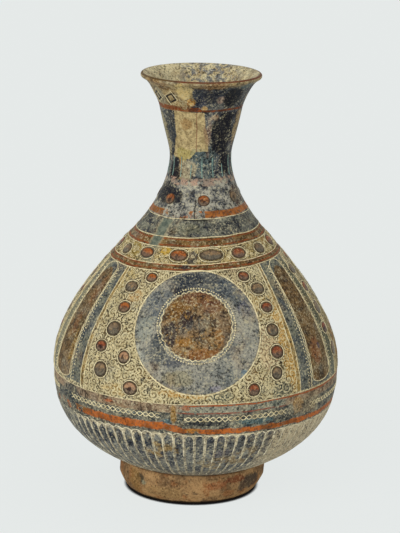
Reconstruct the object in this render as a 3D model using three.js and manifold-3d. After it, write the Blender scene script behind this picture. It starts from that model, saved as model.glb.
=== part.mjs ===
// A pear-shaped bottle vase of glazed stonepaste. A turned foot, a bowl, an upper body, a neck and
// a flared mouth are made apart and luted together, and a plaster fill closes a gap in the neck.
// Millimetres, +Z up, the origin under the middle of the foot, the front towards -Y.
import * as THREE from 'three';
import Module from 'manifold-3d';
import { mergeVertices } from 'three/addons/utils/BufferGeometryUtils.js';

const wasm = await Module();
wasm.setup();

// The height, and the rise of each stretch of it from the resting face up to the mouth
const overallHeight = 304;
const footHeight = 0.0773 * overallHeight;
const bowlRise = 0.2319 * overallHeight;
const shoulderRise = 0.3148 * overallHeight;
const neckRise = 0.1793 * overallHeight;
const throatRise = 0.1194 * overallHeight;

// Outside radii at those heights
const footTopRadius = 51.9;
const bellyRadius = 102.3;
const shoulderRadius = 48;
const neckRadius = 21.7;
const throatRadius = 29.3;
const mouthRadius = 42.7;

// How far the outline leans out from upright, in degrees
const bowlLeanAngle = 66.1;
const shoulderLeanAngle = -41.4;
const throatLeanAngle = 11.5;
const lipLeanAngle = 69.8;

// The share of its rise for which each curve keeps its direction, as it leaves and as it arrives
const bowlLeaveShare = 0.746;
const bowlArriveShare = 0.312;
const shoulderLeaveShare = 0.373;
const shoulderArriveShare = 0.298;
const neckLeaveShare = 0.567;
const neckArriveShare = 0.215;
const throatLeaveShare = 0.229;
const throatArriveShare = 0.661;
const mouthLeaveShare = 0.148;
const mouthArriveShare = 0.297;

// Wall thickness, square to the outline
const heelWall = 8;
const bellyWall = 5.5;
const shoulderWall = 5;
const neckWall = 4.2;
const throatWall = 4;
const lipRadius = 1.7;

// The floor of the bowl and the plug under it that sits inside the foot
const floorDrop = 2.1;
const floorFillet = 5;
const plugDepth = 5.5;
const plugDish = 1.2;
const plugDishRadius = 31;
const plugEdge = 1;

// The turned foot
const footRadius = 52.6;
const heelRounding = 10;
const heelBulgeRadius = 48.6;
const footShoulder = 5;
const restOuterRadius = 44.6;
const restInnerRadius = 40;
const recessRadius = 38;
const recessRounding = 4;

// The chip out of the foot's heel
const chipAzimuth = 12;
const chipReach = 53.8;
const chipHeight = 2.8;
const chipSize = new THREE.Vector3(7, 12, 4.2);

// The luted joints: a tongue on the lower piece stands inside a rebate in the upper one
const tongueHeight = 5;
const lutingGap = 0.35;
const neckSeamRise = 14.8;

// The broken edge of the neck's fill: degrees round from the front, and share of the throat's rise
// that it lies below the mouth's seam
const fillGap = 0.35;
const fillAboveSeam = 12;
const fillTopLeftAngle = -39;
const fillTopRightAngle = 5;
const fillEdge = [
  [-41, 0.496], [-50, 0.744], [-58, 0.95], [-19, 0.95], [-8, 0.799], [14.5, 0.785], [13.5, 0.551],
  [8.5, 0.331],
];

// The raised enamel of the upper body: three medallions, each with a rim, a heart and roundels. The
// places are degrees round from the front and shares of the shoulder's rise.
const medallionAngles = [0.5, 118.75, -124.75];
const medallionShare = 0.449;
const medallionRadius = 44.5;
const heartAngle = -0.8;
const heartShare = 0.507;
const heartRadius = 25.6;
const roundelRadius = 4.6;
const roundelPlaces = [
  [-29.5, 0.789], [-40.5, 0.711], [-39.5, 0.58], [-40.5, 0.434], [-43.5, 0.303], [-31, 0.261],
  [-40.5, 0.152], [-26.5, 0.057], [29, 0.805], [35, 0.721], [36.5, 0.596], [36, 0.455],
  [35.5, 0.313], [34, 0.172], [22.5, 0.068],
];

// The double line down each side of a narrow panel
const panelAngles = [-66.5, 60.5, 177];
const panelHalfAngle = 15.6;
const panelLowShare = 0.01;
const panelHighShare = 0.84;

// How the enamel stands on the wall, and how its bands climb towards the right
const enamelRise = 0.5;
const enamelRoot = 1;
const enamelRootHalfWidth = 2.4;
const roundelTopShare = 0.7;
const climbAtBelly = 0.011;
const climbAtShoulder = 0.05;

// Fineness of the surfaces
const turns = 48;
const bowlSteps = 7;
const shoulderSteps = 6;
const neckSteps = 6;
const throatSteps = 3;
const mouthSteps = 5;
const lipSteps = 6;
const rimSteps = 26;
const heartSteps = 16;
const panelSteps = 5;
const roundelSides = 6;

const bellyHeight = footHeight + bowlRise;
const shoulderHeight = bellyHeight + shoulderRise;
const neckHeight = shoulderHeight + neckRise;
const throatHeight = neckHeight + throatRise;
const neckSeam = shoulderHeight + neckSeamRise;

const point = (radius, height) => new THREE.Vector2(radius, height);

function leaning(degrees) {
  const angle = THREE.MathUtils.degToRad(degrees);
  return point(Math.sin(angle), Math.cos(angle));
}

// One curve of the outline, as stations that know their place, direction and wall
function outlineCurve(start, end) {
  const rise = end.place.y - start.place.y;
  const leave = start.place.clone().addScaledVector(leaning(start.lean), start.leave * rise);
  const arrive = end.place.clone().addScaledVector(leaning(end.lean), -end.arrive * rise);
  const curve = new THREE.CubicBezierCurve(start.place, leave, arrive, end.place);
  return Array.from({ length: start.steps + 1 }, (_, step) => {
    const share = step / start.steps;
    const wall = THREE.MathUtils.lerp(start.wall, end.wall, share);
    return { place: curve.getPoint(share), direction: curve.getTangent(share), wall };
  });
}

// The pear's outside from the foot to the underside of the lip
const lipCentre = point(mouthRadius - lipRadius, overallHeight - lipRadius);
const lipFacing = point(leaning(lipLeanAngle).y, -leaning(lipLeanAngle).x);
const lipStart = lipCentre.clone().addScaledVector(lipFacing, lipRadius);
const knots = [
  { place: point(footTopRadius, footHeight), lean: bowlLeanAngle, leave: bowlLeaveShare, wall: heelWall,
    steps: bowlSteps },
  { place: point(bellyRadius, bellyHeight), lean: 0, arrive: bowlArriveShare, leave: shoulderLeaveShare,
    wall: bellyWall, steps: shoulderSteps },
  { place: point(shoulderRadius, shoulderHeight), lean: shoulderLeanAngle, arrive: shoulderArriveShare,
    leave: neckLeaveShare, wall: shoulderWall, steps: neckSteps },
  { place: point(neckRadius, neckHeight), lean: 0, arrive: neckArriveShare, leave: throatLeaveShare,
    wall: neckWall, steps: throatSteps },
  { place: point(throatRadius, throatHeight), lean: throatLeanAngle, arrive: throatArriveShare,
    leave: mouthLeaveShare, wall: throatWall, steps: mouthSteps },
  { place: lipStart, lean: lipLeanAngle, arrive: mouthArriveShare, wall: 2 * lipRadius },
];
const stations = knots.slice(1).flatMap((knot, index) => {
  const curve = outlineCurve(knots[index], knot);
  return index === 0 ? curve : curve.slice(1);
});
const outside = stations.map((station) => station.place);
const inside = stations.map(({ place, direction, wall }) =>
  place.clone().addScaledVector(point(-direction.y, direction.x), wall));

// The radius of a rising line of points at a height
function radiusAt(line, height) {
  const above = Math.max(1, line.findIndex((place) => place.y >= height));
  const low = line[above - 1];
  const high = line[above];
  return THREE.MathUtils.lerp(low.x, high.x, (height - low.y) / (high.y - low.y));
}

// The stretch of a rising line of points between two heights, with its two ends cut to those heights
function stretch(line, low, high) {
  const nearest = 0.05;
  const middle = line.filter((place) => place.y > low + nearest && place.y < high - nearest);
  return [point(radiusAt(line, low), low), ...middle, point(radiusAt(line, high), high)];
}

function midWall(height) {
  return (radiusAt(outside, height) + radiusAt(inside, height)) / 2;
}

// The tongue on top of a piece that ends at a seam, from the outside in
function tongue(seam) {
  const top = seam + tongueHeight;
  return [point(midWall(seam) - lutingGap, seam), point(midWall(top) - lutingGap, top)];
}

// The rebate under a piece that starts at a seam, from the inside out
function rebate(seam) {
  const top = seam + tongueHeight + lutingGap;
  return [point(midWall(top), top), point(midWall(seam), seam)];
}

// The inside of a wall, going down
function insideDown(low, high) {
  return stretch(inside, low, high).reverse();
}

// A closed outline in radius and height, spun about the upright axis
function turned(outline) {
  const onAxis = outline[0].x === 0;
  const closed = onAxis ? outline : [...outline, outline[0].clone()];
  return new THREE.LatheGeometry(closed, turns).rotateX(Math.PI / 2);
}

function solidOf(geometry) {
  const bare = geometry.clone();
  bare.deleteAttribute('normal');
  bare.deleteAttribute('uv');
  const merged = mergeVertices(bare);
  const vertProperties = new Float32Array(merged.attributes.position.array);
  const triVerts = new Uint32Array(merged.index.array);
  return new wasm.Manifold(new wasm.Mesh({ numProp: 3, vertProperties, triVerts }));
}

function geometryOf(solid) {
  const mesh = solid.getMesh();
  const geometry = new THREE.BufferGeometry();
  geometry.setAttribute('position', new THREE.BufferAttribute(mesh.vertProperties, 3));
  geometry.setIndex(new THREE.BufferAttribute(mesh.triVerts, 1));
  geometry.computeVertexNormals();
  return geometry;
}

// The foot: a flat resting ring, a rounded heel, an upright side and a hollow inside
function footRing() {
  const heel = new THREE.QuadraticBezierCurve(
    point(restOuterRadius, 0), point(heelBulgeRadius, 0), point(footRadius, heelRounding));
  const shoulder = new THREE.QuadraticBezierCurve(
    point(footRadius, footHeight - footShoulder), point(footRadius, footHeight - footShoulder / 3),
    point(footTopRadius, footHeight));
  const recess = new THREE.QuadraticBezierCurve(
    point(recessRadius, recessRounding), point(recessRadius, 0), point(restInnerRadius, 0));
  const ring = turned([
    ...heel.getPoints(4), ...shoulder.getPoints(3),
    point(recessRadius, footHeight), ...recess.getPoints(3),
  ]);
  return geometryOf(solidOf(ring).subtract(solidOf(chip())));
}

// The lump of air that the chip leaves in the foot's heel
function chip() {
  const lump = new THREE.IcosahedronGeometry(1, 1).scale(chipSize.x, chipSize.y, chipSize.z);
  lump.translate(chipReach, 0, chipHeight);
  return lump.rotateZ(THREE.MathUtils.degToRad(-chipAzimuth));
}

// The lower bowl: floor, plug under it, and the wall up to the widest part
function lowerBowl() {
  const underside = footHeight - plugDepth;
  const plugRadius = recessRadius - lutingGap;
  const under = [
    point(0, underside + plugDish), point(plugDishRadius, underside),
    point(plugRadius - plugEdge, underside), point(plugRadius, underside + plugEdge),
    point(plugRadius, footHeight),
  ];
  const heel = inside[0];
  const along = leaning(bowlLeanAngle);
  const floor = heel.y - floorDrop;
  const corner = point(heel.x - along.x * floorDrop / along.y, floor);
  const fillet = new THREE.QuadraticBezierCurve(heel, corner, point(corner.x - floorFillet, floor));
  return turned([
    ...under, ...stretch(outside, footHeight, bellyHeight), ...tongue(bellyHeight),
    ...insideDown(heel.y, bellyHeight + tongueHeight), ...fillet.getPoints(4).slice(1), point(0, floor),
  ]);
}

// A section of wall between two seams, with a rebate below and a tongue above
function wallSection(low, high) {
  return turned([
    ...rebate(low), ...stretch(outside, low, high), ...tongue(high),
    ...insideDown(low + tongueHeight + lutingGap, high + tongueHeight),
  ]);
}

// The mouth: it flares from its seam to a rounded lip
function mouthFlare() {
  const facing = lipFacing.angle();
  const lip = Array.from({ length: lipSteps - 1 }, (_, step) => {
    const angle = facing + Math.PI * (step + 1) / lipSteps;
    return point(lipCentre.x + lipRadius * Math.cos(angle), lipCentre.y + lipRadius * Math.sin(angle));
  });
  const top = inside[inside.length - 1].y;
  return turned([
    ...rebate(throatHeight), ...stretch(outside, throatHeight, lipStart.y), ...lip,
    ...insideDown(throatHeight + tongueHeight + lutingGap, top),
  ]);
}

// An outline of corners in order, moved inwards by a margin on every side
function inset(corners, margin) {
  const turn = Math.sign(THREE.ShapeUtils.area(corners));
  return corners.map((corner, index) => {
    const before = corners[(index + corners.length - 1) % corners.length];
    const after = corners[(index + 1) % corners.length];
    const arriving = corner.clone().sub(before).normalize();
    const leaving = after.clone().sub(corner).normalize();
    const inwards = point(-arriving.y - leaving.y, arriving.x + leaving.x);
    return corner.clone().addScaledVector(inwards, turn * margin / (1 + arriving.dot(leaving)));
  });
}

// The block that the broken gap in the neck takes out of the wall, smaller by a margin all round
function fillBlock(margin) {
  const bore = (neckRadius - neckWall) / 2;
  const reach = 2 * throatRadius;
  const above = fillAboveSeam / throatRise;
  const sides = [[fillTopLeftAngle, -above], ...fillEdge, [fillTopRightAngle, -above]];
  const perDegree = THREE.MathUtils.degToRad(neckRadius);
  const corners = sides.map(([degrees, depth]) => point(degrees * perDegree, -depth * throatRise));
  const edge = inset(corners, margin);
  const faces = THREE.ShapeUtils.triangulateShape(edge, []);
  const place = (corner, radius) => {
    const angle = corner.x / neckRadius;
    return [radius * Math.sin(angle), -radius * Math.cos(angle), throatHeight + corner.y];
  };
  const count = edge.length;
  const positions = [reach, bore].flatMap((radius) => edge.map((corner) => place(corner, radius)));
  const fronts = faces.flatMap(([a, b, c]) => [a, b, c, c + count, b + count, a + count]);
  const rim = edge.flatMap((_, near) => {
    const next = (near + 1) % count;
    return [near, near + count, next, next, near + count, next + count];
  });
  const block = new THREE.BufferGeometry();
  block.setAttribute('position', new THREE.Float32BufferAttribute(positions.flat(), 3));
  block.setIndex([...fronts, ...rim]);
  return solidOf(block);
}

// The place on the outside at an angle from the front and a height on the unrolled pattern
function onWall(degrees, height) {
  const angle = THREE.MathUtils.degToRad(degrees);
  const share = (height - bellyHeight) / shoulderRise;
  const sideways = radiusAt(outside, height) * Math.sin(angle);
  const z = height + sideways * THREE.MathUtils.lerp(climbAtBelly, climbAtShoulder, share);
  const radius = radiusAt(outside, z);
  return new THREE.Vector3(radius * Math.sin(angle), -radius * Math.cos(angle), z);
}

// The way out of the wall at a place on it
function outOfWall(place) {
  const radius = Math.hypot(place.x, place.y);
  const slope = radiusAt(outside, place.z + 1) - radiusAt(outside, place.z - 1);
  return new THREE.Vector3(place.x / radius, place.y / radius, -slope / 2).normalize();
}

// The place on the wall at a straight distance from a centre, in a direction round it
function roundPlace([degrees, height], distance, direction) {
  const centre = onWall(degrees, height);
  const attempt = (reach) => {
    const there = height + reach * Math.sin(direction);
    const turn = THREE.MathUtils.radToDeg(reach * Math.cos(direction) / radiusAt(outside, there));
    return onWall(degrees + turn, there);
  };
  let reach = distance;
  for (let round = 0; round < 3; round += 1) reach *= distance / attempt(reach).distanceTo(centre);
  return attempt(reach);
}

function circleOnWall(centre, radius, steps) {
  return Array.from({ length: steps }, (_, step) => roundPlace(centre, radius, 2 * Math.PI * step / steps));
}

// A closed solid from rings of corners, each ring joined to the next, and the last to the first if the
// rings go round
function joined(rings, goesRound) {
  const sides = rings[0].length;
  const corner = (ring, side) => (ring % rings.length) * sides + side % sides;
  const faces = [];
  for (let ring = 0; ring < rings.length - (goesRound ? 0 : 1); ring += 1) {
    for (let side = 0; side < sides; side += 1) {
      const [a, b, c, d] = [corner(ring, side), corner(ring, side + 1), corner(ring + 1, side),
        corner(ring + 1, side + 1)];
      faces.push(a, b, c, c, b, d);
    }
  }
  if (!goesRound) {
    const last = rings.length - 1;
    for (let side = 1; side < sides - 1; side += 1) {
      faces.push(corner(0, 0), corner(0, side + 1), corner(0, side));
      faces.push(corner(last, 0), corner(last, side), corner(last, side + 1));
    }
  }
  const geometry = new THREE.BufferGeometry();
  const positions = rings.flat().flatMap((place) => place.toArray());
  geometry.setAttribute('position', new THREE.Float32BufferAttribute(positions, 3));
  geometry.setIndex(faces);
  return solidOf(geometry);
}

// A ridge of enamel along a line of places on the wall, rooted in the wall
function ridge(line, goesRound) {
  const rings = line.map((place, index) => {
    const before = line[index - 1] ?? (goesRound ? line[line.length - 1] : place);
    const after = line[index + 1] ?? (goesRound ? line[0] : place);
    const out = outOfWall(place);
    const side = after.clone().sub(before).cross(out).normalize();
    const root = place.clone().addScaledVector(out, -enamelRoot);
    return [
      place.clone().addScaledVector(out, enamelRise),
      root.clone().addScaledVector(side, enamelRootHalfWidth),
      root.clone().addScaledVector(side, -enamelRootHalfWidth),
    ];
  });
  return joined(rings, goesRound);
}

// A roundel: a low button of enamel, rooted in the wall
function roundel(centre) {
  const foot = circleOnWall(centre, roundelRadius, roundelSides);
  const top = circleOnWall(centre, roundelRadius * roundelTopShare, roundelSides);
  return joined([
    foot.map((place) => place.clone().addScaledVector(outOfWall(place), -enamelRoot)),
    top.map((place) => place.clone().addScaledVector(outOfWall(place), enamelRise)),
  ], false);
}

// The enamel that stands on the upper body, above its seam
function raisedEnamel() {
  const rise = (share) => bellyHeight + share * shoulderRise;
  const rims = medallionAngles.flatMap((middle) => [
    ridge(circleOnWall([middle, rise(medallionShare)], medallionRadius, rimSteps), true),
    ridge(circleOnWall([middle + heartAngle, rise(heartShare)], heartRadius, heartSteps), true),
  ]);
  const roundels = medallionAngles.flatMap((middle) =>
    roundelPlaces.map(([degrees, share]) => roundel([middle + degrees, rise(share)])));
  const borders = panelAngles.flatMap((middle) => [-panelHalfAngle, panelHalfAngle].map((half) => {
    const line = Array.from({ length: panelSteps + 1 }, (_, step) =>
      onWall(middle + half, rise(THREE.MathUtils.lerp(panelLowShare, panelHighShare, step / panelSteps))));
    return ridge(line, false);
  }));
  const enamel = wasm.Manifold.union([...rims, ...roundels, ...borders]);
  return enamel.trimByPlane([0, 0, 1], bellyHeight);
}

function upperBody() {
  return geometryOf(solidOf(wallSection(bellyHeight, neckSeam)).add(raisedEnamel()));
}

function mesh(name, geometry, color, roughness) {
  const part = new THREE.Mesh(geometry, new THREE.MeshStandardMaterial({ color, roughness, metalness: 0 }));
  part.name = name;
  return part;
}

const wholeNeck = solidOf(wallSection(neckSeam, throatHeight));
const vase = new THREE.Group();
vase.add(
  mesh('foot_ring', footRing(), 0x82603a, 0.9),
  mesh('lower_bowl', lowerBowl(), 0x77735f, 0.5),
  mesh('upper_body', upperBody(), 0x7b7360, 0.5),
  mesh('neck', geometryOf(wholeNeck.subtract(fillBlock(0))), 0x4b4c50, 0.5),
  mesh('mouth_flare', mouthFlare(), 0x6f6a5c, 0.5),
  mesh('neck_fill', geometryOf(wholeNeck.intersect(fillBlock(fillGap))), 0xb9a573, 0.85),
);

export default vase;
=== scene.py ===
import functools
import math
from collections import namedtuple

import bmesh
import bpy
import numpy as np
from mathutils import Matrix, Vector, noise


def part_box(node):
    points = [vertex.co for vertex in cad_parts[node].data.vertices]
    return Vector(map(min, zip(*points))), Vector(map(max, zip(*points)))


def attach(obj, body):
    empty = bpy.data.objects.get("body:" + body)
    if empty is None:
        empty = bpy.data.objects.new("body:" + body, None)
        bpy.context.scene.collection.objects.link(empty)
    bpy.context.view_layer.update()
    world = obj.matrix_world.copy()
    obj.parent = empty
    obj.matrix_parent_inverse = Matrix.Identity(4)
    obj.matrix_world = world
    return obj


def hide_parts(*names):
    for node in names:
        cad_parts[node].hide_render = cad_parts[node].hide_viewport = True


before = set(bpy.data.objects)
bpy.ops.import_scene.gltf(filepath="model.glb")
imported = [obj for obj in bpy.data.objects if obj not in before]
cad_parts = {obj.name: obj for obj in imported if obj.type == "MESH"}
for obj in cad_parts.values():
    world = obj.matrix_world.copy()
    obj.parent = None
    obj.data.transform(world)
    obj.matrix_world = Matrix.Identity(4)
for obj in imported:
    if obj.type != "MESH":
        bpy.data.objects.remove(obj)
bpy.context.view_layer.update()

# Sizes are in millimetres and degrees, and become metres where a mesh or a node takes them
MM = 0.001

# The pear's outline, from the foot to the underside of the lip
Knot = namedtuple("Knot", "radius height lean leave arrive wall")
KNOTS = (
    Knot(51.9, 23.5, 66.1, 52.6, 0, 8),
    Knot(102.3, 94, 0, 35.7, 22, 5.5),
    Knot(48, 189.7, -41.4, 30.9, 28.5, 5),
    Knot(21.7, 244.2, 0, 8.3, 11.7, 4.2),
    Knot(29.3, 280.5, 11.5, 3, 24, 4),
    Knot(41.587, 300.705, 69.8, 0, 6, 3.4),
)
OVERALL_HEIGHT = 304
LIP_RADIUS = 1.7
LIP_CENTRE = (41, 302.3)

# Where the sections meet, read from the frame
FOOT_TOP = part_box("foot_ring")[1].z / MM
BELLY_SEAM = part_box("upper_body")[0].z / MM
NECK_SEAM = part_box("neck")[0].z / MM
MOUTH_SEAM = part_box("mouth_flare")[0].z / MM

# The foot, the floor of the bowl and the plug under it, as radius and height
HEEL = ((43.8, 0), (47.6, 0), (52.5, 11))
FOOT_WAIST = 52.6
FOOT_TOP_RADIUS = 51.9
HOLLOW_EDGE = 4
PLUG_RADIUS = 38
PLUG_UNDER = 18
PLUG_ROOM = 0.35
FLOOR_TOP = 25.3
FLOOR_EDGE = 28

# The chip out of the foot, and the corners of the neck's fill: angle, and depth under the mouth
CHIP_TURN = 12
CHIP_PLACE = (53.8, 0, 2.8)
CHIP_SIZE = (7, 12, 4.2)
FILL_EDGE = ((-39, 0), (-41, 18), (-50, 27), (-58, 34.5), (-19, 34.5), (-8, 29), (14.5, 28.5),
             (13.5, 20), (8.5, 12), (5, 0))
FILL_RADII = (8, 60)

# How finely the sections are stepped, and where their shading breaks
CURVE_STEPS = 40
TURNS = 216
ROW = 1.5
SHARP = math.radians(35)

# The axis of the thrown pot isn't quite straight: sideways drift at each height
DRIFT_HEIGHTS = (0, 10, 24, 84, 134, 169, 204, 239, 279, 304)
DRIFTS = (-2.3, -1.9, -0.9, -0.35, -0.2, 0.3, 0.6, 0.4, 0.1, 0)

# The painted bands climb to the right: climb per millimetre towards the right, at each height
CLIMB_LOW = 74
CLIMB_PEAK = 175
CLIMB_START = 0.003
CLIMB_MOST = 0.044

# How the wall is laid out: angles from the front, and painted heights, which count from a start
PAINT_START = 4
NARROW_PANELS = (-66.5, 60.5, 177)
NARROW_HALF = 15
BORDER_GAP = 2.2
FIELD_HALF = 7
FIELD_LOW = 96
FIELD_HIGH = 166
MEDALLIONS = ((0.5, 136.2), (118.75, 136.2), (-124.75, 136.2))
MEDALLION_RADIUS = 44.1
HEARTS = tuple((turn - 0.6, height + 3.3) for turn, height in MEDALLIONS)
HEART_RADIUS = 24.6
MAIN_LOW = 88.6
MAIN_HIGH = 170.6
SHOULDER_LOW = 175.8
SHOULDER_HIGH = 184.8
FLUTES = 84
FLUTE_PITCH = 360 / FLUTES
FLUTE_LOW = 22.5
FLUTE_HIGH = 62.5
ZIGZAG_PITCH = 4.8
CRACK_X = -2.6

# Colours as they look in daylight, in 0 to 255
CREAM = (244, 230, 184)
BURNT = (172, 94, 40)
DUN = (128, 108, 84)
RUSSET = (146, 74, 44)
PINK = (180, 138, 104)
OCHRE_RED = (152, 84, 42)
BLACK = (22, 22, 30)
TAN = (166, 142, 100)
OLIVE = (166, 150, 84)

# Drops of enamel in front: roundels left and right of the medallion, and ovals on the shoulder.
# The wide and tall of a drop are half sizes, and an eye is a dark spot in it, from 0 to 1.
Drop = namedtuple("Drop", "turn height wide tall colour eye")
FRONT_ROUNDELS = (
    Drop(-29.2, 166.8, 3.9, 3.3, BURNT, 0), Drop(-39.9, 160, 5.2, 3.9, DUN, 0),
    Drop(-38.6, 147.3, 4.9, 3.9, BURNT, 0.5), Drop(-39.6, 133.3, 5.7, 5, DUN, 0),
    Drop(-43.3, 120.9, 4.9, 3.8, RUSSET, 1), Drop(-30.6, 116.7, 4.2, 4.2, PINK, 0.8),
    Drop(-40.8, 105.6, 5.4, 5.1, DUN, 0.2), Drop(-26, 96.5, 5.2, 4.5, PINK, 1),
    Drop(29.4, 166, 4, 3.4, RUSSET, 0.3), Drop(35.9, 157.5, 5.1, 4.1, DUN, 0),
    Drop(37.4, 145.8, 4.5, 3.6, RUSSET, 0.5), Drop(36.4, 131.9, 4.7, 4.3, DUN, 0.2),
    Drop(35.9, 118.3, 4.8, 4.4, RUSSET, 0.3), Drop(34.1, 105.1, 4.1, 4.2, DUN, 0.3),
    Drop(23.3, 96.3, 4.2, 4.2, RUSSET, 0.3),
)
FRONT_OVALS = (
    Drop(-41.8, 180.6, 5.6, 4, BURNT, 0), Drop(-15, 180.6, 6.2, 4.3, BURNT, 0.3),
    Drop(9.6, 180.5, 8.2, 4.3, DUN, 0), Drop(32.2, 179.8, 5.4, 4.1, RUSSET, 0),
    Drop(54.6, 179.6, 4.8, 3.9, DUN, 0),
)

# Ragged patches of each surface: angle, painted height, half width, half height, colour, strength
GROUND_PATCHES_AND_SIDE_SHADE = (
    (-50, 165, 12, 8, (172, 146, 78), 0.7), (-35, 155, 6, 4, (178, 130, 52), 0.8),
    (-31, 94, 12, 4, (176, 140, 70), 0.6), (-3, 96, 19, 3.5, (188, 140, 58), 0.8),
    (42, 121, 7, 28, (186, 138, 46), 0.85), (32, 121, 8, 14, (190, 160, 122), 0.6),
    (34, 149, 7, 9, (166, 134, 66), 0.6), (36, 93, 9, 5, (40, 58, 60), 0.85),
    # The tall patches at 84 and -90 degrees are painted shade: the ground turns darker and duller
    # towards the sides, where the wall turns from the light.
    (10, 93.5, 9, 4, (80, 92, 84), 0.7), (84, 128, 13, 48, (106, 90, 60), 0.95),
    (83, 108, 5, 10, (150, 96, 56), 0.6), (-90, 130, 11, 48, (118, 116, 92), 0.8),
)
FOOT_PATCHES = (
    (50, 9, 12, 6, (66, 62, 56), 0.8), (-46, 12, 5, 3.6, (62, 58, 48), 0.85),
    (-42, 10, 2.2, 1.8, (150, 148, 120), 0.8), (-52, 9, 6, 9, (146, 112, 64), 0.7),
    (18, 11, 7, 3, (148, 84, 50), 0.6), (36, 14, 8, 3, (120, 62, 38), 0.7),
    (-25, 5, 16, 5, (160, 128, 84), 0.7),
)
BOWL_PATCHES = (
    (-58, 80, 12, 7, (48, 58, 62), 0.8), (-10.7, 74.6, 4, 2.5, (82, 112, 118), 0.8),
    (-30, 79, 16, 2, (96, 110, 110), 0.6), (4, 75, 9, 3, (44, 48, 52), 0.8),
    (24, 74, 13, 2.2, (92, 116, 116), 0.8), (44.5, 80, 5, 6, (176, 126, 50), 0.85),
    (50, 79, 15, 7, (152, 134, 104), 0.55), (-8.4, 81, 2, 6, (160, 122, 62), 0.85),
    (-4, 85.4, 3.4, 1.6, (176, 104, 60), 0.7), (-36, 84.6, 3, 1, (180, 96, 52), 0.8),
)
RUST_PATCHES = (
    (-52, 73.5, 9, 3, (132, 90, 40), 0.8), (-1, 70, 4, 3, (176, 130, 60), 0.6),
    (30, 68.5, 5, 2, (120, 74, 34), 0.6),
)
STRIP_PATCHES = (
    (71.5, 130, 8, 40, (98, 98, 72), 0.85), (-78, 130, 8, 44, (134, 130, 102), 0.75),
)
FIELD_PATCHES = (
    (-61.6, 114, 3, 11, (150, 116, 48), 0.7), (-66, 130, 4, 8, (132, 86, 46), 0.6),
    (59, 112, 6, 9, (148, 92, 54), 0.6), (62, 113.5, 1.8, 1.8, (70, 78, 96), 0.7),
    (-64, 152, 3, 9, (142, 92, 50), 0.5),
)
RING_PATCHES_AND_HIGHLIGHT = (
    (0, 164, 22, 7, (74, 78, 80), 0.8), (-4, 166, 9, 5, (42, 50, 62), 0.85),
    (-9, 160, 4, 2.5, (30, 34, 46), 0.8), (18, 160, 12, 6, (84, 92, 98), 0.7),
    (24, 147, 5, 5, (90, 92, 108), 0.6), (-20, 152, 10, 8, (104, 110, 112), 0.7),
    (-24, 136, 6, 8, (150, 154, 142), 0.7), (-16.5, 123, 5, 11, (62, 70, 76), 0.85),
    # The pale patch at -25 degrees, 114 high, is a painted highlight where the glaze catches the
    # light.
    (-25, 114, 5, 12, (180, 180, 164), 0.7), (-8, 116, 8, 3, (70, 74, 84), 0.7),
    (-7, 106, 10, 5, (146, 138, 104), 0.6), (11, 108.6, 8, 8, (126, 130, 124), 0.5),
    (23, 128, 7, 20, (158, 156, 142), 0.65), (19.4, 107.5, 3, 2.6, (92, 126, 144), 0.7),
    (8, 99, 4, 2.3, (138, 134, 154), 0.5), (-14, 99, 9, 4, (116, 118, 112), 0.6),
)
HEART_PATCHES = (
    (-9, 148, 7, 6, (124, 84, 34), 0.7), (-5.2, 142, 5.5, 6, (44, 38, 46), 0.85),
    (-12, 133, 5, 8, (62, 54, 54), 0.85), (-5, 129, 6.5, 3, (170, 118, 48), 0.7),
    (0.2, 156, 10, 4, (122, 78, 54), 0.6), (8, 150, 8, 4, (120, 72, 52), 0.5),
    (12, 140, 5, 9, (130, 110, 86), 0.6), (10, 131, 3.5, 5, (164, 114, 56), 0.6),
    (3, 121, 13, 4, (146, 94, 48), 0.7), (4, 139, 5, 4, (110, 100, 80), 0.5),
    (2, 130, 4, 4, (96, 88, 74), 0.5),
)
SHOULDER_PATCHES = (
    (-26, 182.5, 4, 2.4, (204, 164, 60), 0.8), (-58, 181, 8, 4.4, (150, 128, 52), 0.7),
    (-3.6, 179, 3.5, 4, (50, 56, 66), 0.8), (-9.4, 173.4, 4.5, 1, (40, 40, 50), 0.8),
    (66, 183, 5, 3, (170, 134, 66), 0.7), (30, 197, 16, 4, (48, 50, 56), 0.6),
    (-12, 196, 12, 3.5, (120, 118, 92), 0.5), (-62, 187.5, 8, 2.6, (132, 86, 48), 0.7),
)
NECK_LOW_PATCHES = (
    (-60, 217, 17, 7, (40, 42, 50), 0.9), (66, 215, 8, 7, (84, 62, 48), 0.75),
)
NECK_HIGH_PATCHES = (
    (8, 240, 9, 13, (92, 106, 104), 0.8), (-27, 234, 8, 7, (158, 146, 116), 0.85),
    (-34, 249, 7, 8, OLIVE, 0.85), (-38, 236, 1.3, 7, (180, 128, 66), 0.7),
    (-51, 264, 4.5, 15, (70, 72, 70), 0.8), (-74, 258, 6, 16, (164, 152, 114), 0.85),
    (-52, 233, 5.5, 8, BLACK, 0.9), (23, 262, 2.6, 13, BLACK, 0.85),
    (40, 261, 7, 15, BLACK, 0.85), (20, 273, 3, 2.4, (176, 144, 112), 0.8),
    (70, 265, 5, 11, TAN, 0.9), (13, 259, 1.6, 12, (150, 120, 100), 0.6),
    (52, 238, 5, 9, BLACK, 0.8), (160, 262, 16, 12, TAN, 0.8), (110, 246, 9, 10, TAN, 0.7),
    (-140, 250, 12, 16, OLIVE, 0.6), (-110, 238, 8, 8, (92, 106, 104), 0.7),
)
NECK_DARKS = (
    (-54, 216, 14, 5, BLACK, 0.7), (-51, 233, 5, 7, BLACK, 0.7), (23, 261, 2.2, 12, BLACK, 0.7),
    (38, 264, 5.5, 9, BLACK, 0.75), (40, 250, 6, 5, BLACK, 0.7), (54, 238, 4, 7, BLACK, 0.7),
    (-49, 257, 2.5, 9, (36, 42, 52), 0.6),
)
NECK_BAND_PATCHES = (
    (-60, 204.5, 9, 2.5, (128, 84, 38), 0.7), (-33, 205, 6, 1.6, (176, 142, 64), 0.8),
    (-10, 204, 6, 2, (176, 128, 100), 0.8),
)
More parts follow.
